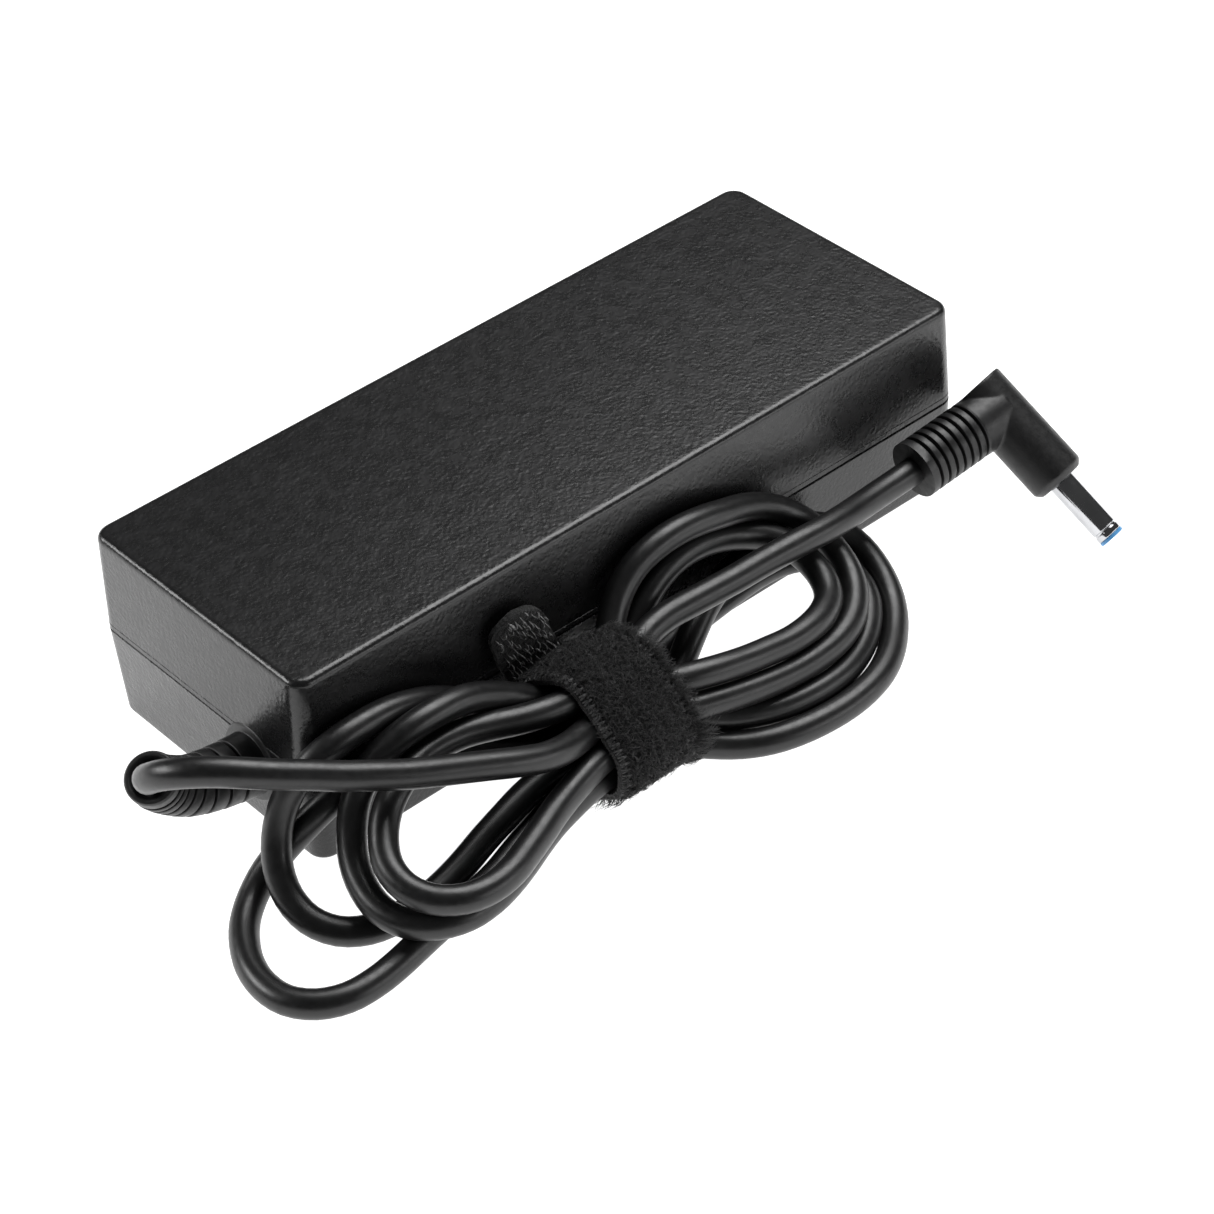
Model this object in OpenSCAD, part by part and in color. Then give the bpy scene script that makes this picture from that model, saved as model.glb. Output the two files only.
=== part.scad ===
/* [Housing] */
// Length of the housing at its flat top face
housing_l = 134; // [124:1:144]
// Width of the housing at its flat top face
housing_w = 52; // [50:1:58]
// Overall height of the housing
housing_h = 35; // [34:1:38]
// Height of the parting line between the two shells
parting_z = 17; // [17:0.5:18]
// How far each side stands out at the parting line
flare = 0.7; // [0.3:0.1:1.2]
// Wall thickness of both shells
wall = 2.2; // [1.8:0.1:2.4]
// Radius of the upright corners
corner_r = 3; // [2.5:0.1:4]

/* [Inlet] */
// Diameter of the three round inlet pins
pin_d = 2.36; // [2.3:0.01:2.5]
// Depth of the mains socket recess
socket_depth = 15; // [12:0.5:16]
// Length of the inlet pins above the socket floor
pin_len = 12; // [10:0.5:13]

/* [Output lead] */
// Diameter of the low-voltage lead
cord_d = 4.6; // [4.2:0.1:5]
// Diameter of the strain relief's collar
collar_d = 13; // [11:0.5:14]
// Width of the hook-and-loop strap
strap_w = 15; // [14:1:18]

/* [Plug] */
// Outer diameter of the metal barrel
barrel_d = 4.5; // [4:0.1:5.5]
// Visible length of the metal barrel
barrel_len = 12.4; // [10:0.1:13]
// Diameter of the plug's moulded body
plug_d = 9.7; // [9:0.1:11]

/* [Hidden] */

hl = housing_l / 2;
hw = housing_w / 2;
cord_r = cord_d / 2;
pcb_z = 6;
pcb_t = 1.6;
top_z = pcb_z + pcb_t;
in_z = 17.5;           // centre height of the mains inlet
in_x0 = hl - 17;       // inner face of the inlet body
face_x = hl + 0.6;     // outer end face of the housing near mid height

// strain relief: collar on the left end face, boot rising towards its tip
relief_y = -12.5;
relief_z = 13;
relief_tip = [-86.5, -14.5, 23];

// bundle of strands that the strap goes round
waist_y = -40.6;
waist_z = 10.6;
waist_x0 = -31;
waist_x1 = -11;
waist_lean = 42;       // how far the bundle's long axis leans up from +Y
waist_u = 3;         // half distance between its two rounded sides

// plug: boot along the lead, body across it
boot_a = [49.5, -35, 16];
boot_dir = aim(-2, 7);
body_dir = aim(-79, -36);
boot_len = 18.4;
elbow = boot_a + boot_dir * boot_len;
body_front = elbow + body_dir * 15.4;
body_back = elbow - body_dir * 5.4;

// lead from the strain relief: a turn up and back over the hank, then a long fall to the strap
crest = [-85, -27, 30];
crest_pull = [4, -3, 0.5];
strap_in = [waist_x0, -43.5, 13];
route_h = concat([for (k = [0:5]) bend(relief_tip, [-4, -4, 5], crest, crest_pull, k / 6)],
                 [for (k = [0:9]) bend(crest, 3 * crest_pull, strap_in, [16, 1, -4], k / 9)]);
// lead from the strap to the plug's boot: a low rise, then level into the boot
strap_out = [waist_x1, -40, 16.5];
route_p = [for (k = [0:9]) bend(strap_out, [18, 3, 6], boot_a, 16 * boot_dir, k / 9)];

// Direction from an angle about Z and a rise above the floor
function aim(turn, rise) = [cos(rise) * cos(turn), cos(rise) * sin(turn), sin(rise)];
// Point at t on the curve that leaves a with the pull u and reaches b with the pull v
function bend(a, u, b, v, t) = pow(1 - t, 3) * a + 3 * pow(1 - t, 2) * t * (a + u)
    + 3 * (1 - t) * t * t * (b - v) + pow(t, 3) * b;
function unit(v) = v / norm(v);
function tangent(p, i) = unit(p[min(i + 1, len(p) - 1)] - p[max(i - 1, 0)]);
// Catmull-Rom point between p[i] and p[i+1]
function cr(p, i, t) =
    let (a = p[max(i - 1, 0)], b = p[i], c = p[i + 1], d = p[min(i + 2, len(p) - 1)])
    0.5 * (2 * b + (c - a) * t + (2 * a - 5 * b + 4 * c - d) * t * t + (3 * b - a - 3 * c + d) * t * t * t);
function smooth(p, n) = concat([for (i = [0:len(p) - 2]) for (k = [0:n - 1]) cr(p, i, k / n)], [p[len(p) - 1]]);

// Round tube of radius r swept along the points p
module tube(p, r, n = 10) {
    m = len(p);
    pts = [for (i = [0:m - 1])
        let (t = i == 0 ? unit(p[1] - p[0]) : i == m - 1 ? unit(p[m - 1] - p[m - 2]) : tangent(p, i),
             s = unit(cross([0, 0, 1], t)), u = cross(t, s))
        for (k = [0:n - 1]) p[i] + r * (cos(360 * k / n) * s + sin(360 * k / n) * u)];
    faces = concat(
        [[for (k = [n - 1:-1:0]) k]],
        [for (i = [0:m - 2]) for (k = [0:n - 1]) for (h = [0, 1])
            h == 0 ? [i * n + k, i * n + (k + 1) % n, (i + 1) * n + (k + 1) % n]
                   : [i * n + k, (i + 1) * n + (k + 1) % n, (i + 1) * n + k]],
        [[for (k = [0:n - 1]) (m - 1) * n + k]]);
    polyhedron(pts, [for (f = faces) [for (j = [len(f) - 1:-1:0]) f[j]]], convexity = 10);
}

// Puts the children's +Z axis along the direction d, starting at p
module along(p, d) {
    translate(p) rotate([0, acos(d[2] / norm(d)), atan2(d[1], d[0])]) children();
}

// Four upright corner posts of a rounded rectangle
module posts(lx, ly, r, z, h) {
    for (sx = [-1, 1], sy = [-1, 1]) translate([sx * (lx - r), sy * (ly - r), z]) cylinder(r = r, h = h, $fn = 32);
}

// Outer form of the housing between two heights
module upper_form(d) {
    hull() {
        posts(hl + flare - d, hw + flare - d, corner_r + 0.6 - d * 0.5, parting_z, 0.2);
        posts(hl + 0.03 - d, hw + 0.03 - d, corner_r - d * 0.5, housing_h - d - 1.2, 0.2);
        posts(hl - 0.3 - d, hw - 0.3 - d, corner_r - 0.3 - d * 0.4, housing_h - d - 0.35, 0.05);
        posts(hl - 0.9 - d, hw - 0.9 - d, corner_r - 0.9 - d * 0.2, housing_h - d - 0.05, 0.05);
    }
}
module lower_form(d) {
    hull() {
        posts(hl + flare - d, hw + flare - d, corner_r + 0.6 - d * 0.5, parting_z - 0.2, 0.2);
        posts(hl - d, hw - d, corner_r - d * 0.5, d + 1, 0.2);
        posts(hl - 0.8 - d, hw - 0.8 - d, corner_r - 0.8 - d * 0.3, d, 0.05);
    }
}

// Round collar hole for the strain relief, through the left end wall
module relief_hole(r) {
    translate([-hl - 3, relief_y, relief_z]) rotate([0, 90, 0]) cylinder(r = r, h = 8, $fn = 48);
}

// Cut-out for the mains inlet in the right end wall
module inlet_cut() {
    translate([hl - 8, -13.1, in_z - 10.1]) cube([12, 26.2, 20.2]);
}

module upper_shell() {
    color("#1c1c1d") difference() {
        upper_form(0);
        translate([0, 0, -0.01]) upper_form(wall);
        translate([-hl + 1.2 - flare, -hw + 1.2 - flare, parting_z - 1])
            cube([housing_l - 2.4 + 2 * flare, housing_w - 2.4 + 2 * flare, 2.7]);
        inlet_cut();
    }
}

module lower_shell() {
    color("#1b1b1c") difference() {
        union() {
            difference() {
                lower_form(0);
                translate([-hl + wall, -hw + wall, wall])
                    cube([housing_l - 2 * wall, housing_w - 2 * wall, parting_z]);
            }
            // tongue that enters the upper shell's rebate
            difference() {
                translate([-hl + 1.4 - flare, -hw + 1.4 - flare, parting_z - 1])
                    cube([housing_l - 2.8 + 2 * flare, housing_w - 2.8 + 2 * flare, 2.5]);
                translate([-hl + wall, -hw + wall, parting_z - 2])
                    cube([housing_l - 2 * wall, housing_w - 2 * wall, 6]);
            }
            // board supports
            for (sx = [-56, 44], sy = [-19, 19]) translate([sx, sy, wall - 0.5]) cylinder(d = 4, h = pcb_z - wall + 0.5, $fn = 32);
        }
        relief_hole(4);
        // shallow recess for the label
        translate([-46, -18, -1]) cube([92, 36, 1.3]);
        inlet_cut();
    }
}

module blank_label() {
    color("#d8d8d6") translate([-45.5, -17.5, 0.15]) cube([91, 35, 0.15]);
}

// Three-lobed outline of the mains socket, around the inlet's centre line
module socket_lobes(r, d) {
    for (p = [[-5, -2.4], [5, -2.4], [0, 3.2]]) translate([0, p[0], p[1]]) rotate([0, 90, 0]) cylinder(r = r, h = d, $fn = 48);
    translate([0, -5, -2.4 - r]) cube([d, 10, r + 5.6]);
}

module ac_inlet_body() {
    color("#161616") difference() {
        union() {
            translate([in_x0, -11.5, in_z - 8.5]) cube([face_x - in_x0, 23, 17]);
            translate([hl - 1, -13, in_z - 10]) cube([1.6, 26, 20]);
        }
        translate([face_x - socket_depth, 0, in_z]) socket_lobes(4.9, socket_depth + 1);
        for (p = [[-5, -2.4], [5, -2.4], [0, 3.2]])
            translate([in_x0 - 1, p[0], in_z + p[1]]) rotate([0, 90, 0]) cylinder(d = 1.6, h = 6, $fn = 32);
    }
}

module inlet_pin(y, z) {
    color("#c9c7be") {
        translate([face_x - socket_depth, y, in_z + z]) rotate([0, 90, 0]) cylinder(d = pin_d, h = pin_len, $fn = 48);
        translate([in_x0 - 3.5, y, in_z + z]) rotate([0, 90, 0])
            cylinder(d = 1.6, h = face_x - socket_depth - in_x0 + 4, $fn = 48);
    }
}
module line_pin() { inlet_pin(-5, -2.4); }
module neutral_pin() { inlet_pin(5, -2.4); }
module earth_pin() { inlet_pin(0, 3.2); }

// Three short bars from the inlet's pins down to the board
module inlet_leads() {
    color("#b9a24a") for (p = [[-5, -2.4], [5, -2.4], [0, 3.2]])
        difference() {
            translate([in_x0 - 3, p[0] - 2, top_z]) cube([1.2, 4, in_z + p[1] - top_z + 2]);
            translate([in_x0 - 4, p[0], in_z + p[1]]) rotate([0, 90, 0]) cylinder(d = 1.6, h = 4, $fn = 48);
        }
}

module insulating_sheet() {
    color("#d9cfa6") difference() {
        translate([-62, -22.5, wall + 0.1]) cube([108, 45, 0.4]);
        for (sx = [-56, 44], sy = [-19, 19]) translate([sx, sy, 0]) cylinder(d = 5, h = 6, $fn = 32);
    }
}

module circuit_board() {
    color("#2f6b3a") translate([-62, -22.5, pcb_z]) cube([in_x0 + 62 - 0.3, 45, pcb_t]);
}

module fuse() {
    color("#3a2a22") translate([40, 15, top_z]) cylinder(d = 8.4, h = 8, $fn = 48);
}

module inrush_thermistor() {
    color("#3f6f4b") translate([40, -2.2, top_z + 6]) rotate([90, 0, 0]) cylinder(d = 11, h = 4.4, $fn = 48);
}

module x_capacitor() {
    color("#d6b429") translate([24, -21, top_z]) cube([18, 8.5, 15]);
}

module line_choke_core() {
    color("#2a2d31") translate([29, 0, top_z + 9]) rotate([0, 90, 0]) rotate_extrude($fn = 64)
        translate([5, -3.5]) square([3.4, 7]);
}

module line_choke_windings() {
    color("#b87333") translate([29, 0, top_z + 9]) rotate([0, 90, 0]) for (a = [40, 220]) rotate([0, 0, a])
        rotate_extrude(angle = 100, $fn = 64) difference() {
            translate([4, -4.5]) square([5.4, 9]);
            translate([5, -3.5]) square([3.4, 7]);
        }
}

module bridge_rectifier() {
    color("#1f1f20") translate([20, 12, top_z]) cube([15, 3.6, 15]);
}

module bulk_capacitor() {
    color("#24356b") translate([-12, 12.5, top_z + 9.2]) rotate([0, 90, 0]) cylinder(d = 18, h = 30, $fn = 64);
}

module primary_heatsink() {
    color("#b8bcc0") union() {
        translate([-12, -21, top_z]) cube([34, 1.6, 20]);
        translate([-12, -21, top_z + 18.4]) cube([34, 9, 1.6]);
    }
}

module switching_transistor() {
    color("#202022") translate([0, -19.4, top_z + 1]) cube([10, 4.4, 15]);
}

// Pair of E-shaped core halves around the bobbin
module transformer_core() {
    color("#33363a") translate([-43, -5, top_z + 2]) difference() {
        cube([28, 12, 20], center = false);
        translate([5.5, -1, 5]) cube([4.5, 14, 10]);
        translate([18, -1, 5]) cube([4.5, 14, 10]);
    }
}

module transformer_bobbin() {
    color("#1d2b24") translate([-29, 1, top_z + 12]) difference() {
        cube([26, 22, 9.6], center = true);
        cube([8.2, 30, 12], center = true);
        translate([0, 0, 0]) for (s = [-1, 1]) translate([s * 10.9, 0, 0]) cube([5.9, 12.2, 12], center = true);
        difference() {
            cube([17.6, 18, 12], center = true);
            cube([9.6, 20, 14], center = true);
        }
    }
}

module transformer_windings() {
    color("#c8862f") translate([-29, 1, top_z + 12]) difference() {
        cube([17.2, 17.6, 9.4], center = true);
        cube([9.8, 20, 14], center = true);
    }
}

module control_chip() {
    color("#18181a") translate([-20, -20, top_z]) cube([5, 4, 1.6]);
}

module optocoupler() {
    color("#f1f1ee") translate([-14, -5, top_z]) cube([4.6, 6.5, 3.6]);
}

module y_capacitor() {
    color("#3f78b8") translate([-7, -6, top_z + 5]) rotate([90, 0, 0]) cylinder(d = 9, h = 4, $fn = 48);
}

module secondary_heatsink() {
    color("#b8bcc0") union() {
        translate([-44, 20.2, top_z]) cube([30, 1.6, 20]);
        translate([-44, 14.2, top_z + 18.4]) cube([30, 7.6, 1.6]);
    }
}

module output_rectifier() {
    color("#202022") translate([-40, 15.8, top_z + 1]) cube([10, 4.4, 15]);
}

module output_capacitors() {
    color("#20242e") for (p = [[-50, 10], [-50, -1], [-50, -12]])
        translate([p[0], p[1], top_z]) cylinder(d = 10, h = 20, $fn = 64);
}

module output_choke_core() {
    color("#3b3b3e") translate([-30, -17, top_z]) cylinder(d = 4, h = 16, $fn = 48);
}

module output_choke_winding() {
    color("#b87333") translate([-30, -17, top_z + 1.5]) difference() {
        cylinder(d = 8, h = 13, $fn = 48);
        translate([0, 0, -1]) cylinder(d = 4, h = 15, $fn = 48);
    }
}

module heat_spreader() {
    color("#c2c6ca") translate([-56, -21, 31.2]) cube([100, 42, 0.8]);
}

// Two insulated wires from the board to the strain relief
module output_wires() {
    color("#b02a2a") for (s = [-1, 1])
        tube([[-63.4, relief_y + s * 1.3, relief_z], [-61.5, relief_y + s * 1.6, relief_z - 0.4],
              [-59.5, relief_y + s * 2.2, relief_z - 2.4], [-58.6, relief_y + s * 2.4, relief_z - 4],
              [-58.4, relief_y + s * 2.4, top_z]], 0.9, 8);
}

// Collar, neck in the end wall and tapered boot
module strain_relief() {
    color("#19191a") union() {
        translate([-hl - 2.2, relief_y, relief_z]) rotate([0, 90, 0]) cylinder(d = collar_d, h = 1.65, $fn = 64);
        translate([-hl - 1, relief_y, relief_z]) rotate([0, 90, 0]) cylinder(r = 3.9, h = 3.2, $fn = 48);
        translate([-hl + 2.2, relief_y, relief_z]) rotate([0, 90, 0]) cylinder(r = 5.2, h = 1.4, $fn = 48);
        difference() {
            along([-66, -12.4, 12.2], relief_tip - [-66, -12.4, 12.2])
                cylinder(r1 = 5.2, r2 = 4.1, h = norm(relief_tip - [-66, -12.4, 12.2]), $fn = 64);
            translate([-hl - 1, relief_y - 10, 0]) cube([10, 20, 30]);
        }
    }
}

module cord_housing_end() {
    color("#1d1d1e") tube(smooth(route_h, 4), cord_r, 10);
}

module cord_plug_end() {
    color("#1d1d1e") tube(smooth(route_p, 3), cord_r, 10);
}

// Bar along X with the bundle's leaning, round-sided cross-section
module waist_bar(r, x, l) {
    translate([x, waist_y, waist_z]) rotate([waist_lean, 0, 0]) union() {
        for (s = [-1, 1]) translate([0, s * waist_u, 0]) rotate([0, 90, 0]) cylinder(r = r, h = l, $fn = 64);
        translate([0, -waist_u, -r]) cube([l, 2 * waist_u, 2 * r]);
    }
}

// Outer form of the wound lead: two round-ended lobes and the waist in the strap
module cord_hank() {
    color("#1d1d1e") union() {
        linear_extrude(11) union() {
            translate([-75, -41]) circle(r = 14.5, $fn = 64);
            translate([-58, -42]) circle(r = 14, $fn = 64);
            polygon([[-75, -55.5], [-58, -56], [-29, -47], [-29, -33], [-58, -28], [-75, -26.5]]);
        }
        linear_extrude(11) union() {
            translate([27, -43]) circle(r = 14, $fn = 64);
            translate([10, -43]) circle(r = 14, $fn = 64);
            polygon([[27, -57], [10, -57], [-9, -47], [-9, -33], [10, -29], [27, -29]]);
        }
        waist_bar(6.8, waist_x0, waist_x1 - waist_x0);
    }
}

// Strap round the bundle, with its free end standing against the housing
module cord_strap() {
    color("#151516") union() {
        difference() {
            waist_bar(8.2, -21 - strap_w / 2, strap_w);
            waist_bar(6.95, -22 - strap_w / 2, strap_w + 2);
        }
        translate([-28, -30.2, 10.5]) rotate([0, -10, 0]) {
            translate([-6, 0, 0]) cube([12, 1.4, 12.5]);
            translate([0, 1.4, 12.5]) rotate([90, 0, 0]) cylinder(r = 6, h = 1.4, $fn = 48);
        }
    }
}

module plug_boot() {
    color("#19191a") along(boot_a, boot_dir) union() {
        cylinder(r = 4.4, h = boot_len - plug_d / 2 + 2.5, $fn = 64);
        for (k = [0:6]) translate([0, 0, k * 1.7]) cylinder(d = 9.9, h = 1.15, $fn = 64);
        translate([0, 0, 11.8]) cylinder(d = 9.9, h = 1, $fn = 64);
    }
}

module plug_body() {
    color("#1a1a1b") difference() {
        along(body_back, body_dir) union() {
            cylinder(d = plug_d, h = 19.8, $fn = 64);
            translate([0, 0, 19.8]) cylinder(d1 = plug_d, d2 = plug_d - 2, h = 1, $fn = 64);
        }
        along(boot_a, boot_dir) cylinder(r = 4.4, h = boot_len - plug_d / 2 + 2.5, $fn = 64);
        along(boot_a, boot_dir) cylinder(d = 9.9, h = 12.8, $fn = 64);
        along(body_front - body_dir * 6, body_dir) cylinder(d = barrel_d - 0.9, h = 8, $fn = 48);
    }
}

module plug_barrel() {
    color("#d4d6d8") along(body_front - body_dir * 6, body_dir) difference() {
        union() {
            cylinder(d = barrel_d - 0.9, h = 7, $fn = 64);
            translate([0, 0, 6]) cylinder(d = barrel_d, h = barrel_len - 0.6, $fn = 64);
        }
        translate([0, 0, -1]) cylinder(d = 3, h = 30, $fn = 48);
    }
}

module plug_insulator() {
    color("#4f93cf") along(body_front - body_dir * 6, body_dir) difference() {
        union() {
            cylinder(d = 3, h = 6 + barrel_len, $fn = 48);
            translate([0, 0, 6 + barrel_len - 0.6]) cylinder(d = barrel_d - 0.7, h = 0.6, $fn = 64);
        }
        translate([0, 0, 6 + barrel_len - 9]) cylinder(d = 2.4, h = 10, $fn = 48);
        translate([0, 0, -1]) cylinder(d = 0.8, h = 30, $fn = 24);
    }
}

module plug_centre_pin() {
    color("#d6b45a") along(body_front - body_dir * 6, body_dir) cylinder(d = 0.8, h = 6 + barrel_len - 0.8, $fn = 24);
}

upper_shell();
lower_shell();
blank_label();
ac_inlet_body();
line_pin();
neutral_pin();
earth_pin();
inlet_leads();
insulating_sheet();
circuit_board();
fuse();
inrush_thermistor();
x_capacitor();
line_choke_core();
line_choke_windings();
bridge_rectifier();
bulk_capacitor();
primary_heatsink();
switching_transistor();
transformer_core();
transformer_bobbin();
transformer_windings();
control_chip();
optocoupler();
y_capacitor();
secondary_heatsink();
output_rectifier();
output_capacitors();
output_choke_core();
output_choke_winding();
heat_spreader();
output_wires();
strain_relief();
cord_housing_end();
cord_hank();
cord_plug_end();
cord_strap();
plug_boot();
plug_body();
plug_barrel();
plug_insulator();
plug_centre_pin();
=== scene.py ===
import bpy, bmesh, math, random
from mathutils import Matrix, Vector, noise


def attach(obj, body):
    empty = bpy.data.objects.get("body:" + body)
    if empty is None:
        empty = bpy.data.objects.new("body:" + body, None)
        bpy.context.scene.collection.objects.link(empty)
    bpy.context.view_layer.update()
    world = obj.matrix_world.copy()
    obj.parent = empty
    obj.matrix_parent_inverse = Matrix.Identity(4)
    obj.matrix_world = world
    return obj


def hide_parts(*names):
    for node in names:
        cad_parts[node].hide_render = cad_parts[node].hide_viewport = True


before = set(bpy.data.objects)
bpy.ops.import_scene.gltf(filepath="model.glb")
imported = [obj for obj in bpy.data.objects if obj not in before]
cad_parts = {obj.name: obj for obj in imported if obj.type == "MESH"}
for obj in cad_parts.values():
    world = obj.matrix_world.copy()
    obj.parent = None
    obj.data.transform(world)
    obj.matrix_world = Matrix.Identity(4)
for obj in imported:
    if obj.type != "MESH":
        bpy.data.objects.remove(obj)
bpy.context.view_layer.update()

MM = 0.001
scene = bpy.context.scene


def V(x, y, z):
    return Vector((x * MM, y * MM, z * MM))


# ---------------------------------------------------------------- camera
AZ, EL, ROLL = math.radians(-38.68053554844254), math.radians(39.48450800812357), math.radians(-4.108699668103264)
back = Vector((math.sin(AZ) * math.cos(EL), -math.cos(AZ) * math.cos(EL), math.sin(EL)))
right = Vector((0, 0, 1)).cross(back).normalized()
up = back.cross(right)
r2 = right * math.cos(ROLL) + up * math.sin(ROLL)
u2 = up * math.cos(ROLL) - right * math.sin(ROLL)
cam_at = (r2 * 9.516225782213716 - u2 * 3.2433587793202783 + back * 572.6229093) * MM
cam_data = bpy.data.cameras.new("camera")
cam = bpy.data.objects.new("camera", cam_data)
scene.collection.objects.link(cam)
cam_data.sensor_width = 36.0
cam_data.lens = 3505.6160861164108 / 1214 * 36.0
cam_data.clip_start = 0.01
cam.matrix_world = Matrix(((r2.x, u2.x, back.x, cam_at.x), (r2.y, u2.y, back.y, cam_at.y),
                           (r2.z, u2.z, back.z, cam_at.z), (0, 0, 0, 1)))
scene.camera = cam


# ---------------------------------------------------------------- materials
class Mat:
    """A Principled material with a small node graph built step by step, in metres of the shared frame."""

    def __init__(self, name, base, rough=0.5, metal=0.0, ior=1.5, **plain):
        self.m = bpy.data.materials.new(name)
        self.m.use_nodes = True
        self.t = self.m.node_tree
        self.b = next(n for n in self.t.nodes if n.type == "BSDF_PRINCIPLED")
        self.b.inputs["Base Color"].default_value = (*base, 1)
        self.b.inputs["Roughness"].default_value = rough
        self.b.inputs["Metallic"].default_value = metal
        self.b.inputs["IOR"].default_value = ior
        for k, v in plain.items():
            self.b.inputs[k.replace("_", " ")].default_value = v
        self.m.diffuse_color = (*base, 1)
        self.co = self.t.nodes.new("ShaderNodeTexCoord").outputs["Object"]
        self.height = None

    def node(self, kind, **vals):
        n = self.t.nodes.new(kind)
        for k, v in vals.items():
            if hasattr(n, k):
                setattr(n, k, v)
            else:
                n.inputs[k.replace("_", " ")].default_value = v
        return n

    def stretch(self, sx, sy, sz, rot=(0, 0, 0)):
        n = self.node("ShaderNodeMapping")
        n.inputs["Scale"].default_value = (sx, sy, sz)
        n.inputs["Rotation"].default_value = rot
        self.t.links.new(self.co, n.inputs["Vector"])
        return n.outputs[0]

    def noise(self, scale, detail=3.0, rough=0.55, co=None):
        n = self.node("ShaderNodeTexNoise", Scale=scale, Detail=detail, Roughness=rough)
        self.t.links.new(co or self.co, n.inputs["Vector"])
        return n.outputs["Fac"]

    def cells(self, scale, feature="SMOOTH_F1", co=None):
        n = self.node("ShaderNodeTexVoronoi", Scale=scale)
        n.feature = feature
        self.t.links.new(co or self.co, n.inputs["Vector"])
        return n.outputs["Distance"]

    def wave(self, scale, distort=0.0, direction="X", co=None, profile="SIN"):
        n = self.node("ShaderNodeTexWave", Scale=scale, Distortion=distort)
        n.bands_direction = direction
        n.wave_profile = profile
        self.t.links.new(co or self.co, n.inputs["Vector"])
        return n.outputs["Fac"]

    def math(self, op, a, b):
        n = self.node("ShaderNodeMath", operation=op)
        for i, x in enumerate((a, b)):
            if isinstance(x, (int, float)):
                n.inputs[i].default_value = x
            else:
                self.t.links.new(x, n.inputs[i])
        return n.outputs[0]

    def ramp(self, fac, stops):
        n = self.node("ShaderNodeValToRGB")
        e = n.color_ramp.elements
        while len(e) < len(stops):
            e.new(0.5)
        for el, (p, c) in zip(e, stops):
            el.position = p
            el.color = (*c, 1) if len(c) == 3 else (c[0], c[0], c[0], 1)
        self.t.links.new(fac, n.inputs["Fac"])
        return n.outputs["Color"]

    def colour(self, fac, stops):
        self.t.links.new(self.ramp(fac, stops), self.b.inputs["Base Color"])
        return self

    def rough(self, fac, a, b, lo=0.3, hi=0.7):
        self.t.links.new(self.ramp(fac, [(lo, (a,)), (hi, (b,))]), self.b.inputs["Roughness"])
        return self

    def bump(self, fac, strength, distance):
        n = self.node("ShaderNodeBump", Strength=strength, Distance=distance)
        self.t.links.new(fac, n.inputs["Height"])
        if self.height is not None:
            self.t.links.new(self.height, n.inputs["Normal"])
        self.height = n.outputs["Normal"]
        self.t.links.new(self.height, self.b.inputs["Normal"])
        return self


def case_plastic(name, dark, light, r0, r1, grain=0.34):
    m = Mat(name, dark, 0.36, ior=1.5)
    m.colour(m.noise(55, 2), [(0.3, dark), (0.7, light)])
    m.rough(m.noise(420, 4, 0.6), r0, r1)
    m.bump(m.math("ADD", m.noise(1350, 2, 0.5), m.math("MULTIPLY", m.cells(1600), 0.5)), grain, 0.00013)
    m.bump(m.noise(38, 1), 0.05, 0.0003)
    return m.m


M = {}
M["shell"] = case_plastic("moulded_case", (0.0068, 0.0068, 0.0071), (0.0092, 0.0092, 0.0095), 0.24, 0.32, 0.40)
m = Mat("inlet_nylon", (0.011, 0.011, 0.0115), 0.42)
m.colour(m.noise(120, 2), [(0.3, (0.0095, 0.0095, 0.010)), (0.7, (0.014, 0.014, 0.0145))])
m.rough(m.noise(700, 3), 0.36, 0.5)
m.bump(m.noise(2600, 3), 0.22, 0.0001)
M["inlet"] = m.m
m = Mat("lead_vinyl", (0.009, 0.009, 0.0093), 0.3, ior=1.52)
m.colour(m.noise(140, 3), [(0.3, (0.0048, 0.0048, 0.005)), (0.7, (0.0075, 0.0075, 0.0078))])
m.rough(m.noise(900, 4), 0.31, 0.42)
m.bump(m.noise(2400, 2), 0.06, 0.00005)
M["lead"] = m.m
m = Mat("relief_rubber", (0.011, 0.011, 0.0113), 0.42, ior=1.5)
m.colour(m.noise(160, 3), [(0.3, (0.006, 0.006, 0.0062)), (0.7, (0.0095, 0.0095, 0.0098))])
m.rough(m.noise(1100, 4), 0.36, 0.5)
m.bump(m.noise(2600, 3), 0.2, 0.0001)
M["boot"] = m.m
m = Mat("strap_base", (0.004, 0.004, 0.0041), 0.85, Sheen_Weight=0.12, Sheen_Roughness=0.5)
m.colour(m.noise(1300, 4), [(0.3, (0.0025, 0.0025, 0.0026)), (0.7, (0.009, 0.009, 0.0092))])
m.rough(m.noise(900, 3), 0.75, 0.95)
m.bump(m.noise(1500, 4), 1.0, 0.0006)
M["strap"] = m.m
m = Mat("strap_pile", (0.014, 0.014, 0.0142), 0.55, Sheen_Weight=0.1, Sheen_Roughness=0.45)
m.colour(m.noise(900, 3), [(0.35, (0.003, 0.003, 0.0031)), (0.55, (0.009, 0.009, 0.0092)), (0.72, (0.055, 0.055, 0.0555))])
m.rough(m.noise(1500, 2), 0.42, 0.65)
M["pile"] = m.m
m = Mat("strap_woven_rim", (0.03, 0.03, 0.0304), 0.4)
m.colour(m.noise(700, 2), [(0.3, (0.02, 0.02, 0.0202)), (0.7, (0.13, 0.13, 0.1304))])
m.rough(m.noise(1500, 2), 0.35, 0.5)
M["rim"] = m.m
m = Mat("strap_hook", (0.07, 0.07, 0.0705), 0.2)
m.colour(m.noise(600, 2), [(0.3, (0.07, 0.07, 0.0704)), (0.7, (0.30, 0.30, 0.3005))])
m.rough(m.noise(1500, 2), 0.14, 0.28)
M["hook"] = m.m
m = Mat("barrel_nickel", (0.78, 0.79, 0.81), 0.13, 1.0)
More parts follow.
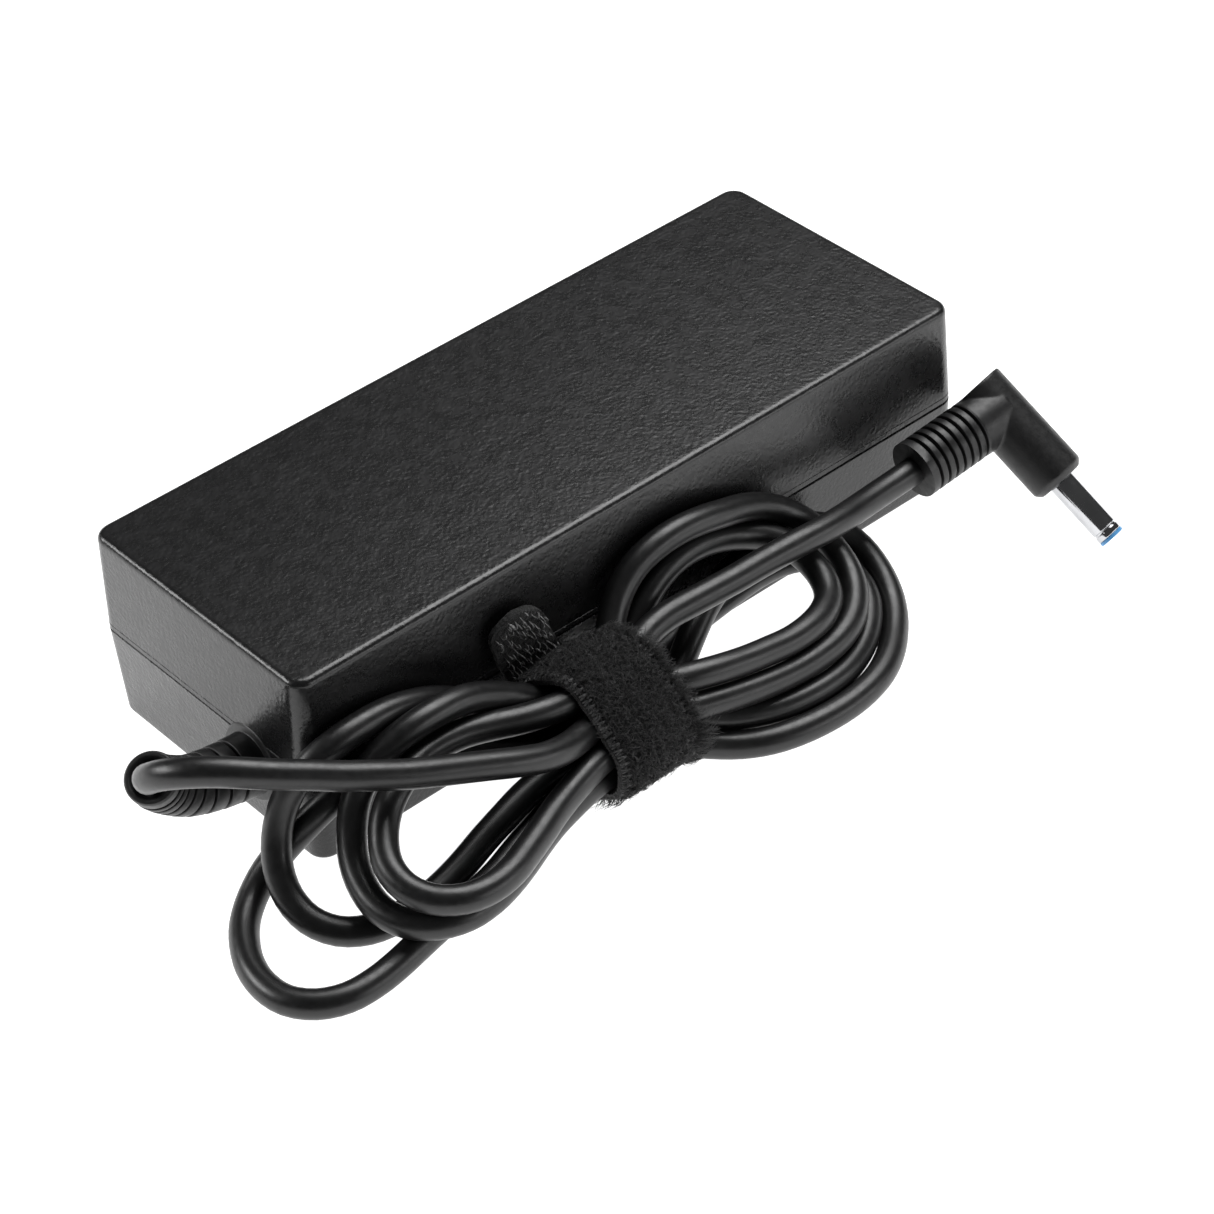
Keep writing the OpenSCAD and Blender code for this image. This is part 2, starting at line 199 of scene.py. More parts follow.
m.colour(m.noise(300, 3), [(0.3, (0.50, 0.505, 0.52)), (0.7, (0.60, 0.605, 0.62))])
m.rough(m.noise(800, 4), 0.08, 0.16)
m.bump(m.noise(900, 1), 0.015, 0.00003)
M["barrel"] = m.m
m = Mat("insulator_blue", (0.09, 0.31, 0.62), 0.38)
m.colour(m.noise(500, 2), [(0.3, (0.075, 0.28, 0.58)), (0.7, (0.11, 0.36, 0.68))])
m.rough(m.noise(900, 2), 0.3, 0.45)
m.bump(m.noise(2500, 2), 0.1, 0.00005)
M["tip"] = m.m
m = Mat("pin_gold", (0.72, 0.52, 0.2), 0.22, 1.0)
m.colour(m.noise(600, 3), [(0.3, (0.64, 0.45, 0.16)), (0.7, (0.78, 0.58, 0.25))])
m.rough(m.noise(1200, 3), 0.15, 0.3)
M["gold"] = m.m
m = Mat("pin_plated", (0.62, 0.60, 0.54), 0.25, 1.0)
m.colour(m.noise(500, 3), [(0.3, (0.52, 0.50, 0.45)), (0.7, (0.70, 0.68, 0.62))])
m.rough(m.noise(900, 4, co=m.stretch(0.15, 1, 1)), 0.16, 0.36)
M["pin"] = m.m
m = Mat("label_film", (0.62, 0.62, 0.61), 0.4)
m.colour(m.noise(90, 3), [(0.3, (0.57, 0.57, 0.56)), (0.7, (0.68, 0.68, 0.67))])
m.rough(m.noise(400, 3), 0.32, 0.5)
m.bump(m.noise(1500, 2), 0.12, 0.00005)
M["label"] = m.m
m = Mat("board_green", (0.02, 0.11, 0.035), 0.35)
lines = m.wave(160, 1.4, "X")
m.colour(m.math("MULTIPLY", lines, m.cells(120, "DISTANCE_TO_EDGE")),
         [(0.02, (0.028, 0.16, 0.05)), (0.10, (0.012, 0.075, 0.022))])
m.rough(m.noise(600, 2), 0.28, 0.45)
m.bump(lines, 0.15, 0.00005)
M["pcb"] = m.m
m = Mat("winding_copper", (0.55, 0.24, 0.09), 0.3, 1.0)
m.colour(m.noise(700, 3), [(0.3, (0.42, 0.17, 0.06)), (0.7, (0.66, 0.31, 0.13))])
m.rough(m.noise(900, 2), 0.22, 0.4)
m.bump(m.wave(260, 0.6, "Z"), 0.8, 0.0004)
M["copper"] = m.m
m = Mat("ferrite_grey", (0.035, 0.037, 0.04), 0.6)
m.colour(m.noise(1500, 4), [(0.3, (0.022, 0.024, 0.026)), (0.7, (0.055, 0.057, 0.06))])
m.rough(m.noise(900, 3), 0.5, 0.75)
m.bump(m.noise(2500, 3), 0.35, 0.00012)
M["ferrite"] = m.m
m = Mat("epoxy_black", (0.012, 0.012, 0.013), 0.48)
m.colour(m.noise(800, 3), [(0.3, (0.009, 0.009, 0.0095)), (0.7, (0.018, 0.018, 0.019))])
m.rough(m.noise(900, 3), 0.4, 0.58)
m.bump(m.noise(2800, 3), 0.25, 0.00008)
M["chip"] = m.m
m = Mat("can_sleeve", (0.02, 0.035, 0.12), 0.28)
m.colour(m.noise(200, 3), [(0.3, (0.014, 0.024, 0.09)), (0.7, (0.028, 0.05, 0.16))])
m.rough(m.noise(700, 3), 0.2, 0.36)
m.bump(m.noise(260, 2), 0.15, 0.0003)
M["can"] = m.m
m = Mat("film_cap_yellow", (0.66, 0.46, 0.03), 0.36)
m.colour(m.noise(250, 3), [(0.3, (0.58, 0.39, 0.02)), (0.7, (0.74, 0.53, 0.05))])
m.rough(m.noise(700, 3), 0.28, 0.45)
m.bump(m.noise(500, 2), 0.12, 0.0002)
M["yellow"] = m.m
m = Mat("disc_coating", (0.06, 0.13, 0.19), 0.45)
m.colour(m.noise(500, 3), [(0.3, (0.045, 0.10, 0.15)), (0.7, (0.08, 0.16, 0.22))])
m.rough(m.noise(900, 3), 0.36, 0.55)
m.bump(m.noise(900, 3), 0.3, 0.0002)
M["disc"] = m.m
m = Mat("opto_white", (0.75, 0.75, 0.72), 0.42)
m.colour(m.noise(500, 3), [(0.3, (0.70, 0.70, 0.67)), (0.7, (0.80, 0.80, 0.77))])
m.rough(m.noise(900, 3), 0.35, 0.5)
M["white"] = m.m
m = Mat("sink_aluminium", (0.62, 0.63, 0.65), 0.3, 1.0)
br = m.stretch(0.06, 1, 1)
m.colour(m.noise(900, 4, co=br), [(0.3, (0.54, 0.55, 0.57)), (0.7, (0.70, 0.71, 0.73))])
m.rough(m.noise(1400, 4, co=br), 0.2, 0.42)
m.bump(m.noise(2600, 3, co=br), 0.2, 0.00008)
M["aluminium"] = m.m
m = Mat("fish_paper", (0.66, 0.58, 0.36), 0.7)
m.colour(m.noise(700, 4), [(0.3, (0.58, 0.50, 0.30)), (0.7, (0.73, 0.65, 0.42))])
m.rough(m.noise(900, 3), 0.6, 0.8)
m.bump(m.noise(1800, 4), 0.3, 0.0001)
M["film"] = m.m
m = Mat("wire_red", (0.42, 0.03, 0.025), 0.34)
m.colour(m.noise(400, 3), [(0.3, (0.36, 0.022, 0.018)), (0.7, (0.48, 0.04, 0.032))])
m.rough(m.noise(900, 3), 0.28, 0.42)
M["wire"] = m.m
m = Mat("table_white", (0.4, 0.4, 0.4), 0.7)
m.colour(m.noise(3, 1), [(0.3, (0.39, 0.39, 0.39)), (0.7, (0.41, 0.41, 0.41))])
m.b.inputs["Emission Color"].default_value = (1, 1, 1, 1)
m.b.inputs["Emission Strength"].default_value = 1.15
TABLE = m.m


# ---------------------------------------------------------------- mesh helpers
def mesh_piece(name, verts, faces, slot, mat=None, sharp=35, extra=None):
    me = bpy.data.meshes.new(name)
    me.from_pydata([tuple(v) for v in verts], [], faces)
    me.validate()
    ob = bpy.data.objects.new(name, me)
    scene.collection.objects.link(ob)
    bm = bmesh.new()
    bm.from_mesh(me)
    bmesh.ops.recalc_face_normals(bm, faces=bm.faces)
    bm.to_mesh(me)
    bm.free()
    me.materials.append(mat or M[slot])
    finish_mesh(me, sharp)
    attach(ob, "root")
    return ob


def finish_mesh(me, sharp):
    me.polygons.foreach_set("use_smooth", [True] * len(me.polygons))
    if sharp:
        me.set_sharp_from_angle(angle=math.radians(sharp))
    me.update()


def catmull(pts, n):
    out = []
    m = len(pts)
    for i in range(m - 1):
        a, b, c, d = pts[max(i - 1, 0)], pts[i], pts[i + 1], pts[min(i + 2, m - 1)]
        for k in range(n):
            t = k / n
            out.append(0.5 * (2 * b + (c - a) * t + (2 * a - 5 * b + 4 * c - d) * t * t
                              + (3 * b - a - 3 * c + d) * t * t * t))
    out.append(pts[-1].copy())
    return out


class Path:
    """A line through points with a carried side direction, read by length."""

    def __init__(self, pts, first=None):
        self.p = pts
        n = len(pts)
        self.s = [0.0]
        for i in range(1, n):
            self.s.append(self.s[-1] + (pts[i] - pts[i - 1]).length)
        self.t = [(pts[min(i + 1, n - 1)] - pts[max(i - 1, 0)]).normalized() for i in range(n)]
        ref = Vector((0, 0, 1)) if abs(self.t[0].z) < 0.9 else Vector((1, 0, 0))
        if first is not None:
            ref = first
        side = self.t[0].cross(ref).normalized()
        self.n = [side]
        for i in range(1, n):
            q = self.t[i - 1].rotation_difference(self.t[i])
            side = q @ self.n[-1]
            side = (side - self.t[i] * side.dot(self.t[i])).normalized()
            self.n.append(side)
        self.length = self.s[-1]

    def at(self, s):
        s0 = s
        s = min(max(s, 0.0), self.length)
        lo, hi = 0, len(self.s) - 1
        while hi - lo > 1:
            mid = (lo + hi) // 2
            if self.s[mid] <= s:
                lo = mid
            else:
                hi = mid
        f = (s - self.s[lo]) / max(self.s[hi] - self.s[lo], 1e-9)
        p = self.p[lo].lerp(self.p[hi], f)
        t = self.t[lo].lerp(self.t[hi], f).normalized()
        n = self.n[lo].lerp(self.n[hi], f)
        n = (n - t * n.dot(t)).normalized()
        return p + t * (s0 - s), t, n, t.cross(n)


def lathe(path, profile, seg=48):
    """Closed surface of revolution along a path; profile is (length, radius) in mm, from end to end."""
    verts, faces = [], []
    for s, r in profile:
        p, t, n, b = path.at(s * MM)
        for k in range(seg):
            a = 2 * math.pi * k / seg
            verts.append(p + (n * math.cos(a) + b * math.sin(a)) * (r * MM))
    m = len(profile)
    for i in range(m - 1):
        for k in range(seg):
            k2 = (k + 1) % seg
            faces.append((i * seg + k, i * seg + k2, (i + 1) * seg + k2, (i + 1) * seg + k))
    faces.append(tuple(range(seg))[::-1])
    faces.append(tuple((m - 1) * seg + k for k in range(seg)))
    return verts, faces


def rounded(profile, rad, k=4):
    """Rounds the inner corners of a profile line by up to rad."""
    out = [profile[0]]
    for i in range(1, len(profile) - 1):
        a, b, c = (Vector(profile[j]) for j in (i - 1, i, i + 1))
        r = min(rad, 0.45 * (a - b).length, 0.45 * (c - b).length)
        p, q = b + (a - b).normalized() * r, b + (c - b).normalized() * r
        for j in range(k + 1):
            t = j / k
            w = p * (1 - t) ** 2 + b * 2 * t * (1 - t) + q * t * t
            out.append((w.x, w.y))
    out.append(profile[-1])
    return out


def line(a, b, n=24):
    return Path([a.lerp(b, i / n) for i in range(n + 1)])


# ---------------------------------------------------------------- output lead
ROUTE = [
    (-86.5,-14.5,23.0), (-88.5,-17.4,25.9), (-88.4,-20.9,28.8), (-86.5,-24.5,30.4), (-83.3,-27.7,30.6),
    (-79.7,-30.4,29.8), (-75.9,-32.6,28.5), (-72.0,-34.6,27.2), (-68.1,-36.6,25.8), (-64.1,-38.5,24.6),
    (-60.1,-40.2,23.3), (-55.9,-41.7,22.1), (-51.7,-43.0,20.9), (-47.5,-44.3,19.7), (-43.3,-45.5,18.4),
    (-39.0,-46.2,17.0), (-34.7,-45.8,15.7), (-30.4,-44.5,14.6), (-26.1,-43.2,14.0), (-21.7,-42.7,14.0),
    (-17.2,-43.1,14.1), (-12.9,-44.5,14.4), (-8.7,-46.1,14.4), (-4.3,-47.2,13.9), (0.1,-47.7,13.1),
    (4.5,-48.0,12.5), (8.9,-48.2,12.0), (13.4,-47.8,11.8), (17.6,-46.4,11.5), (21.2,-43.9,11.2),
    (23.4,-40.2,11.7), (23.7,-36.1,13.1), (22.1,-32.7,15.3), (18.9,-30.5,17.1), (14.9,-29.3,18.6),
    (10.7,-29.0,20.1), (6.3,-29.1,21.1), (1.8,-29.4,21.0), (-2.5,-30.0,19.7), (-6.3,-30.9,17.5),
    (-9.8,-32.0,14.9), (-13.4,-33.2,12.3), (-17.5,-34.1,10.6), (-22.0,-34.4,10.0), (-26.5,-34.3,10.3),
    (-30.7,-33.2,11.6), (-34.5,-31.6,13.7), (-38.0,-30.2,16.3), (-41.6,-29.3,19.0), (-45.4,-29.0,21.4),
    (-49.6,-29.0,23.3), (-54.0,-29.0,24.5), (-58.6,-29.2,25.0), (-63.1,-29.2,24.7), (-67.3,-28.6,23.1),
    (-70.6,-27.7,20.2), (-73.0,-27.2,16.4), (-75.1,-27.8,12.4), (-76.9,-29.9,8.8), (-77.9,-33.3,6.0),
    (-77.5,-37.3,4.0), (-75.3,-41.0,2.8), (-71.6,-43.5,2.3), (-67.2,-44.7,2.4), (-62.7,-45.0,2.7),
    (-58.1,-44.7,3.3), (-53.7,-44.1,4.2), (-49.3,-43.3,5.3), (-44.9,-42.7,6.4), (-40.4,-42.1,7.4),
    (-35.9,-41.9,8.2), (-31.4,-41.9,8.8), (-26.9,-41.9,9.3), (-22.3,-41.9,9.4), (-17.8,-42.1,9.2),
    (-13.5,-43.2,8.2), (-9.8,-45.2,6.7), (-6.2,-47.6,5.4), (-2.3,-49.8,4.7), (1.9,-51.5,4.3), (6.2,-52.6,4.2),
    (10.7,-53.0,4.1), (15.2,-52.6,3.9), (19.5,-51.3,3.8), (23.6,-49.3,4.0), (27.2,-46.6,4.5), (30.1,-43.3,5.1),
    (31.6,-39.3,6.0), (31.0,-35.0,7.1), (28.4,-31.6,7.9), (24.4,-29.7,8.1), (19.9,-29.1,8.0), (15.4,-29.3,8.0),
    (10.8,-29.6,7.8), (6.3,-29.8,7.4), (1.7,-30.3,7.3), (-2.8,-31.2,7.4), (-7.1,-32.8,7.7), (-11.1,-34.9,7.8),
    (-15.3,-36.9,7.5), (-19.7,-37.8,7.1), (-24.3,-38.0,7.0), (-28.8,-37.3,7.4), (-33.0,-35.9,8.5),
    (-36.8,-33.9,10.0), (-40.7,-32.1,11.5), (-44.9,-30.7,12.9), (-49.2,-29.9,14.1), (-53.6,-29.5,15.1),
    (-58.1,-29.3,15.6), (-62.6,-29.2,15.4), (-66.8,-28.7,13.8), (-70.2,-27.6,11.1), (-73.1,-26.2,8.0),
    (-76.5,-25.7,5.2), (-80.4,-27.1,3.3), (-83.9,-29.8,2.5), (-86.6,-33.4,2.3), (-88.6,-37.5,2.3),
    (-89.5,-42.0,2.3), (-88.9,-46.5,2.3), (-86.3,-50.1,2.3), (-82.3,-52.2,2.3), (-77.7,-52.6,2.3),
    (-73.2,-52.1,2.3), (-68.7,-51.2,2.3), (-64.2,-50.3,2.3), (-59.6,-49.6,2.3), (-55.1,-48.8,2.3),
    (-50.6,-47.8,2.4), (-46.2,-46.5,2.8), (-41.8,-45.2,3.2), (-37.4,-43.9,3.6), (-33.0,-42.8,4.0),
    (-28.5,-42.1,4.2), (-23.9,-41.8,4.2), (-19.3,-41.5,4.2), (-14.9,-40.5,4.5), (-10.6,-39.0,5.2),
    (-6.5,-37.5,6.4), (-2.6,-35.9,8.1), (1.2,-34.2,9.9), (5.2,-32.4,11.3), (9.4,-30.9,12.1), (13.8,-29.8,12.6),
    (18.3,-29.0,12.7), (22.8,-28.9,12.7), (27.3,-28.9,12.4), (31.6,-29.6,11.6), (35.0,-31.8,9.7),
    (36.7,-35.2,7.3), (36.5,-39.2,5.2), (35.0,-43.3,3.6), (32.5,-47.0,2.7), (29.2,-50.3,2.3), (25.5,-53.2,2.3),
    (21.3,-55.4,2.3), (16.8,-56.7,2.3), (12.1,-57.2,2.3), (7.4,-57.0,2.3), (2.7,-56.2,2.3), (-1.7,-54.7,2.3),
    (-5.8,-52.4,2.5), (-9.7,-49.9,3.4), (-13.5,-47.5,4.8), (-17.6,-46.1,6.0), (-22.2,-45.9,6.3),
    (-26.8,-46.1,6.2), (-31.3,-46.6,6.2), (-35.8,-47.5,6.1), (-40.3,-48.7,6.1), (-44.6,-50.3,6.1),
    (-48.8,-52.1,6.1), (-53.1,-53.8,6.3), (-57.5,-55.0,6.5), (-62.0,-55.2,6.7), (-66.3,-53.7,6.9),
    (-69.4,-50.5,7.0), (-70.7,-46.2,7.4), (-70.3,-41.8,8.4), (-68.9,-37.9,10.2), (-66.8,-35.1,13.1),
    (-64.3,-33.4,16.5), (-61.2,-32.8,19.7), (-57.4,-33.0,22.2), (-53.1,-33.5,23.7), (-48.6,-33.6,23.9),
    (-44.1,-33.3,23.1), (-39.9,-33.1,21.4), (-36.0,-33.4,19.2), (-32.1,-34.3,16.9), (-28.0,-35.2,15.3),
    (-23.6,-35.3,14.6), (-19.2,-35.0,14.9), (-15.4,-33.5,16.6), (-12.4,-31.3,19.2), (-9.1,-29.8,22.0),
    (-5.3,-29.2,24.4), (-1.0,-29.2,25.8), (3.6,-29.3,26.2), (8.1,-29.3,25.6), (12.5,-29.2,24.4),
    (16.9,-28.9,22.9), (21.0,-29.0,21.0), (24.7,-30.0,18.6), (27.7,-32.0,15.8), (29.4,-34.8,12.8),
    (29.4,-38.7,10.5), (27.8,-42.6,9.1), (24.8,-46.0,8.5), (21.0,-48.5,8.1), (16.7,-49.9,7.9),
    (12.2,-50.5,8.0), (7.6,-50.6,8.2), (3.1,-50.4,8.7), (-1.5,-49.9,9.3), (-5.9,-49.1,9.9), (-10.3,-48.0,10.4),
    (-14.7,-46.9,10.8), (-19.3,-46.4,10.9), (-23.8,-46.4,10.9), (-28.4,-46.9,10.8), (-32.8,-47.9,10.7),
    (-37.2,-49.2,10.6), (-41.5,-50.8,10.6), (-45.7,-52.7,10.6), (-49.9,-54.5,10.7), (-54.1,-56.2,10.9),
    (-58.6,-57.0,11.2), (-63.0,-56.2,11.5), (-66.5,-53.5,11.9), (-68.2,-49.5,12.6), (-67.9,-45.2,13.8),
    (-65.7,-41.5,15.3), (-62.5,-38.6,16.8), (-58.6,-36.6,18.0), (-54.3,-35.2,18.7), (-49.8,-34.7,18.8),
    (-45.2,-35.1,18.6), (-40.8,-36.3,18.1), (-36.5,-37.8,17.6), (-32.1,-39.0,17.3), (-27.6,-39.5,17.1),
    (-23.0,-39.5,17.1), (-18.5,-39.1,17.2), (-14.1,-38.0,17.7), (-9.8,-36.8,18.3), (-5.3,-36.3,18.5),
    (-0.7,-36.4,18.4), (3.8,-36.5,18.2), (8.4,-36.6,18.0), (13.0,-36.6,17.9), (17.6,-36.7,17.8),
    (22.2,-37.0,17.8), (26.8,-37.0,17.4), (31.3,-36.5,16.8), (35.8,-35.7,16.1), (40.3,-35.1,15.7),
    (44.9,-34.8,15.6), (49.5,-34.9,16.0),
]
LEAD_R = 2.3
START = Vector(ROUTE[0])
ROUTE.insert(0, tuple(START - Vector((-0.5, -0.45, 0.74)) * 1.6))
lead_line = catmull([V(*p) for p in ROUTE], 3)
lead_path = Path(lead_line)
SEG = 20
verts, faces = [], []
for p, t, n in zip(lead_path.p, lead_path.t, lead_path.n):
    b = t.cross(n)
    for k in range(SEG):
        a = 2 * math.pi * k / SEG
        verts.append(p + (n * math.cos(a) + b * math.sin(a)) * (LEAD_R * MM))
for i in range(len(lead_line) - 1):
    for k in range(SEG):
        k2 = (k + 1) % SEG
        faces.append((i * SEG + k, i * SEG + k2, (i + 1) * SEG + k2, (i + 1) * SEG + k))
faces.append(tuple(range(SEG))[::-1])
faces.append(tuple((len(lead_line) - 1) * SEG + k for k in range(SEG)))
lead = mesh_piece("output_lead", verts, faces, "lead", sharp=50)
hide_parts("cord_housing_end", "cord_hank", "cord_plug_end")


# ---------------------------------------------------------------- housing shells
HL, HW, PZ, HZ = 67.0, 26.0, 17.0, 35.0


def loop(z, o, rc=3.0, a=HL, b=HW, n=8):
    """Rounded rectangle at height z, grown by o."""
    r = max(rc + o, 0.3)
    pts = []
    for cx, cy, a0 in ((1, 1, 0), (-1, 1, 90), (-1, -1, 180), (1, -1, 270)):
        for k in range(n + 1):
            t = math.radians(a0 + 90 * k / n)
            pts.append(V(cx * (a + o - r) + r * math.cos(t), cy * (b + o - r) + r * math.sin(t), z))
    return pts


def shell_from(loops):
    verts, faces = [], []
    m = len(loops[0])
    for lp in loops:
        verts += lp
    for i in range(len(loops) - 1):
        for k in range(m):
            k2 = (k + 1) % m
            faces.append((i * m + k, i * m + k2, (i + 1) * m + k2, (i + 1) * m + k))
    faces.append(tuple(range(m))[::-1])
    faces.append(tuple((len(loops) - 1) * m + k for k in range(m)))
    return verts, faces


def cut(ob, verts, faces):
    me = bpy.data.meshes.new("cutter")
    me.from_pydata([tuple(v) for v in verts], [], faces)
    c = bpy.data.objects.new("cutter", me)
    scene.collection.objects.link(c)
    bm = bmesh.new()
    bm.from_mesh(me)
    bmesh.ops.recalc_face_normals(bm, faces=bm.faces)
    bm.to_mesh(me)
    bm.free()
    mod = ob.modifiers.new("cut", "BOOLEAN")
    mod.object = c
    mod.operation = "DIFFERENCE"
    mod.solver = "EXACT"
    dg = bpy.context.evaluated_depsgraph_get()
    new = bpy.data.meshes.new_from_object(ob.evaluated_get(dg))
    ob.modifiers.clear()
    old = ob.data
    ob.data = new
    bpy.data.meshes.remove(old)
    bpy.data.objects.remove(c)


def block(x0, x1, y0, y1, z0, z1, ch=0.0):
    p = [V(x, y, z) for z in (z0, z1) for x, y in ((x0, y0), (x1, y0), (x1, y1), (x0, y1))]
    return p, [(3, 2, 1, 0), (4, 5, 6, 7), (0, 1, 5, 4), (1, 2, 6, 5), (2, 3, 7, 6), (3, 0, 4, 7)]


def side(z):
    return 0.03 + 0.67 * (33.9 - z) / (33.9 - PZ) if z > PZ else 0.7 * (z - 0.9) / (PZ - 0.9)


top = [(17.12, -1.45), (17.12, 0.42), (17.16, 0.55), (17.26, side(17.2)), (17.5, side(17.5)), (18.05, side(18)),
       (18.10, side(18) - 0.09), (18.22, side(18) - 0.09), (18.27, side(18.2)), (18.6, side(18.6)),
       (25.0, side(25)), (33.4, side(33.4)), (33.9, side(33.9))]
FR = 1.15
for k in range(1, 9):
    t = math.radians(90 * k / 8)
    top.append((33.85 + FR * math.sin(t), 0.03 - FR + FR * math.cos(t)))
top += [(35.0, -1.6), (35.0, -2.4)]
loops_top = [loop(32.7, -2.25), loop(18.9, -2.2), loop(18.9, -1.45)] + [loop(z, o) for z, o in top]
case_top = mesh_piece("case_top", *shell_from(loops_top), "shell", sharp=0)
base = [(18.5, -2.25), (18.5, -1.6), (16.6, -1.6), (16.88, -1.35), (16.88, 0.42), (16.84, 0.55), (16.74, side(16.8)),
        (16.4, side(16.4)), (8.0, side(8)), (1.4, side(1.4)), (0.9, 0.0)]
BR = 0.9
for k in range(1, 7):
    t = math.radians(90 * k / 6)
    base.append((0.9 - BR * math.sin(t), -BR + BR * math.cos(t)))
base += [(0.0, -1.4), (0.0, -2.0)]
base = [(2.3, -2.25)] + base
loops_base = [loop(z, o) for z, o in base]
recess = lambda z, d: loop(z, 0, 1.2, 46 - d, 18 - d)
loops_base += [recess(0.0, -0.5), recess(0.0, 0.0), recess(0.3, 0.0), recess(0.3, 0.4)]
case_base = mesh_piece("case_base", *shell_from(loops_base), "shell", sharp=0)
for ob in (case_top, case_base):
    cut(ob, *block(58.0, 73.0, -13.1, 13.1, 7.4, 27.6))
hole = lathe(line(V(-72, -12.5, 13), V(-60, -12.5, 13), 4), [(0, 4.05), (12, 4.05)], 48)
cut(case_base, *hole)
for ob in (case_top, case_base):
    ob.data.materials.clear()
    ob.data.materials.append(M["shell"])
    finish_mesh(ob.data, 33)
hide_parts("upper_shell")
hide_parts("lower_shell")

# ---------------------------------------------------------------- strain relief
relief_line = catmull([V(-61, -12.5, 13), V(-64, -12.5, 13), V(-66.5, -12.5, 13), V(-69.5, -12.55, 13.3),
                       V(-72.5, -12.65, 13.8), V(-76.1, -12.7, 14.6), V(-79.9, -12.75, 16.0), V(-83.2, -13.0, 18.5),
                       V(-85.2, -13.6, 20.8), V(-86.5, -14.5, 23.0)], 8)
rp = Path(relief_line)
L = rp.length / MM
prof = [(0.0, 1.0), (0.0, 3.9), (2.5, 3.9), (2.5, 4.0), (5.55, 4.0), (5.55, 6.2), (5.85, 6.45), (7.2, 6.45), (7.5, 6.15),
        (7.55, 5.1)]
s = 8.6
pitches = [3.2, 3.0, 2.8, 2.5, 2.2, 1.9, 1.7, 1.5]
fit = (L - 2.2 - 8.6) / sum(pitches)
for pt in pitches:
    pt *= fit
    f = (s - 8.6) / (L - 8.6)
    r = 5.05 - 0.85 * f
    prof += [(s, r), (s + pt - 0.5, r - 0.05), (s + pt - 0.48, r - 0.95), (s + pt - 0.02, r - 0.98)]
    s += pt
prof += [(s, 4.2), (L - 0.5, 4.15), (L, 3.95), (L, 3.3), (L - 0.9, 2.7), (L - 1.1, 0.5)]
relief = mesh_piece("strain_relief_boot", *lathe(rp, rounded(prof, 0.18, 3), 64), "boot", sharp=42)
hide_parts("strain_relief")

# ---------------------------------------------------------------- plug
BD = Vector((0.9925, -0.034, 0.1174)).normalized()
PD = Vector((0.154, -0.7964, -0.5848)).normalized()
A0 = V(49.5, -34.9, 16.0)
ELBOW = A0 + BD * (18.4 * MM)
FRONT = ELBOW + PD * (15.4 * MM)
BACK = ELBOW - PD * (5.4 * MM)
grip = [(-0.35, 0.5), (-0.35, 4.95)]
for k in range(7):
    z0 = k * 1.7
    grip += [(z0 + (0.0 if k else -0.35), 4.95), (z0 + 1.12, 4.95), (z0 + 1.15, 4.1), (z0 + 1.67, 4.1)]
grip += [(11.9, 4.1), (11.9, 4.9), (13.5, 4.85), (13.5, 0.5)]
plug_grip = mesh_piece("plug_grip", *lathe(line(A0, A0 + BD * (18 * MM)), rounded(grip, 0.14, 3), 72), "boot", sharp=42)
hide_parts("plug_boot")

# moulded elbow: two round bodies melted together, then rounded
bv, bf = lathe(line(BACK, FRONT, 6), rounded([(0, 0.5), (0, 4.85), (19.8, 4.85), (20.8, 3.9), (20.8, 0.5)], 0.2, 3), 96)
sv, sf = lathe(line(ELBOW - BD * (6.5 * MM), ELBOW, 4), [(0, 0.5), (0, 4.95), (1.0, 4.95), (4.0, 5.08), (6.5, 5.08), (6.5, 0.5)], 96)
off = len(bv)
elbow = mesh_piece("plug_elbow", bv + sv, bf + [tuple(i + off for i in f) for f in sf], "boot", sharp=0)
rm = elbow.modifiers.new("melt", "REMESH")
rm.mode = "VOXEL"
rm.voxel_size = 0.00016
rm.adaptivity = 0
dg = bpy.context.evaluated_depsgraph_get()
new = bpy.data.meshes.new_from_object(elbow.evaluated_get(dg))
elbow.modifiers.clear()
elbow.data = new
bm = bmesh.new()
bm.from_mesh(new)
for _ in range(9):
    bmesh.ops.smooth_vert(bm, verts=bm.verts, factor=0.5, use_axis_x=True, use_axis_y=True, use_axis_z=True)
bm.to_mesh(new)
bm.free()
new.materials.clear()
new.materials.append(M["boot"])
finish_mesh(new, 0)
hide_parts("plug_body")

sleeve = [(-4.0, 1.6), (-4.0, 1.8), (-0.1, 1.8), (-0.1, 2.25), (10.3, 2.25), (10.42, 2.08), (10.7, 2.08), (10.82, 2.25),
          (11.65, 2.25), (11.8, 2.12), (11.8, 1.6)]
sleeve_line = line(FRONT - PD * (5 * MM), FRONT + PD * (13 * MM), 36)
plug_sleeve = mesh_piece("plug_sleeve", *lathe(sleeve_line, rounded([(a + 5, r) for a, r in sleeve], 0.07, 3), 72), "barrel", sharp=40)
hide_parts("plug_barrel")


def ring(path, profile, seg=64):
    """Closed ring of revolution: the profile is a closed loop of (length, radius)."""
    verts, faces = [], []
    m = len(profile)
    for s, r in profile:
        p, t, n, b = path.at(s * MM)
        for k in range(seg):
            a = 2 * math.pi * k / seg
            verts.append(p + (n * math.cos(a) + b * math.sin(a)) * (r * MM))
    for i in range(m):
        i2 = (i + 1) % m
        for k in range(seg):
            k2 = (k + 1) % seg
            faces.append((i * seg + k, i * seg + k2, i2 * seg + k2, i2 * seg + k))
    return verts, faces


